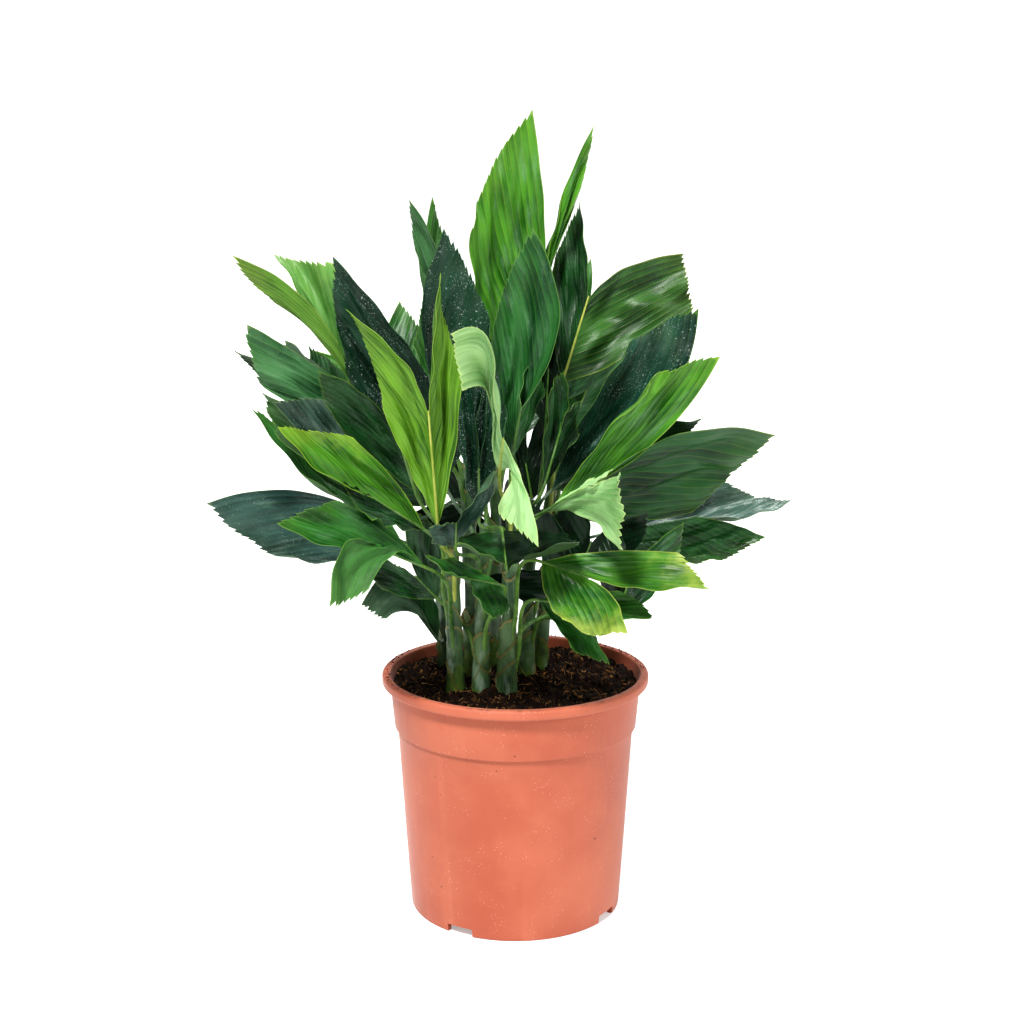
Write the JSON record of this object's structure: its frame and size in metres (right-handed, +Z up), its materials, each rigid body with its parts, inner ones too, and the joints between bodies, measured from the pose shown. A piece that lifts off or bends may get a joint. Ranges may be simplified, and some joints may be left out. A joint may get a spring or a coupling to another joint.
{
  "type": "potted palm",
  "caption": "Potted palm with forked, pleated, silvery green leaves on slim sheathed canes, standing in a round tapered plastic pot with a rolled lip.",
  "frame": {"origin": "on the ground at the axis of the pot, which is the middle of the plant's box", "axes": "+Z up, -Y the front that the picture shows, +X to the right"},
  "size_m": [0.3654, 0.2935, 0.504],
  "materials": {
    "pot_plastic": "matte",
    "potting_soil": "matte",
    "cane_sheath": "satin",
    "leaf_green": "satin",
    "leaf_dark": "satin",
    "leaf_dusty": "satin",
    "leaf_silver": "satin",
    "leaf_lime": "satin",
    "leaf_striped": "satin"
  },
  "bodies": {
    "root": {"grower_pot": "pot_plastic", "potting_soil": "potting_soil", "cane_front_left": "cane_sheath", "cane_front_middle": "cane_sheath", "cane_front_right": "cane_sheath", "cane_middle_right": "cane_sheath", "cane_back_right": "cane_sheath", "cane_back_left": "cane_sheath", "cane_back_middle": "cane_sheath", "cane_middle_left": "cane_sheath", "leaf_front_striped": "leaf_striped", "leaf_front_left_lime": "leaf_lime", "leaf_front_left_drooping": "leaf_green", "leaf_front_small_grey": "leaf_silver", "leaf_front_low_small": "leaf_green", "leaf_front_cupped": "leaf_dark", "leaf_front_curled": "leaf_lime", "leaf_front_right_hanging": "leaf_lime", "leaf_low_right_yellowing": "leaf_lime", "leaf_low_right_small": "leaf_green", "leaf_left_long_grey": "leaf_silver", "leaf_low_left_small": "leaf_silver", "leaf_left_dark": "leaf_dark", "leaf_left_silvery": "leaf_silver", "leaf_left_rippled": "leaf_silver", "leaf_upper_left_folded": "leaf_lime", "leaf_back_left_narrow": "leaf_dark", "leaf_middle_left_dusty": "leaf_dusty", "leaf_upper_left_twisted": "leaf_silver", "leaf_middle_tall": "leaf_green", "leaf_middle_narrow": "leaf_dusty", "leaf_middle_right_short": "leaf_dusty", "leaf_top": "leaf_green", "leaf_upper_right_broad": "leaf_green", "leaf_inner_left": "leaf_dark", "leaf_inner_right": "leaf_dark", "leaf_inner_back": "leaf_dark", "leaf_low_inner_left": "leaf_dark", "leaf_low_inner_middle": "leaf_dark", "leaf_low_inner_right": "leaf_dark", "leaf_low_outer_right": "leaf_dark", "leaf_inner_back_left": "leaf_dark", "leaf_inner_back_low": "leaf_dark", "leaf_right_dusty": "leaf_dusty", "leaf_right_bright": "leaf_lime", "leaf_right_rippled": "leaf_silver", "leaf_back_left_upright": "leaf_green", "leaf_back_upper_left": "leaf_green", "leaf_back_low_left": "leaf_dark", "leaf_back_middle": "leaf_green", "leaf_back_upright": "leaf_green", "leaf_back_right_inner": "leaf_green", "leaf_back_upper_right": "leaf_green", "leaf_back_low_right": "leaf_dark", "leaf_back_right_low": "leaf_dark"}
  },
  "joints": []
}
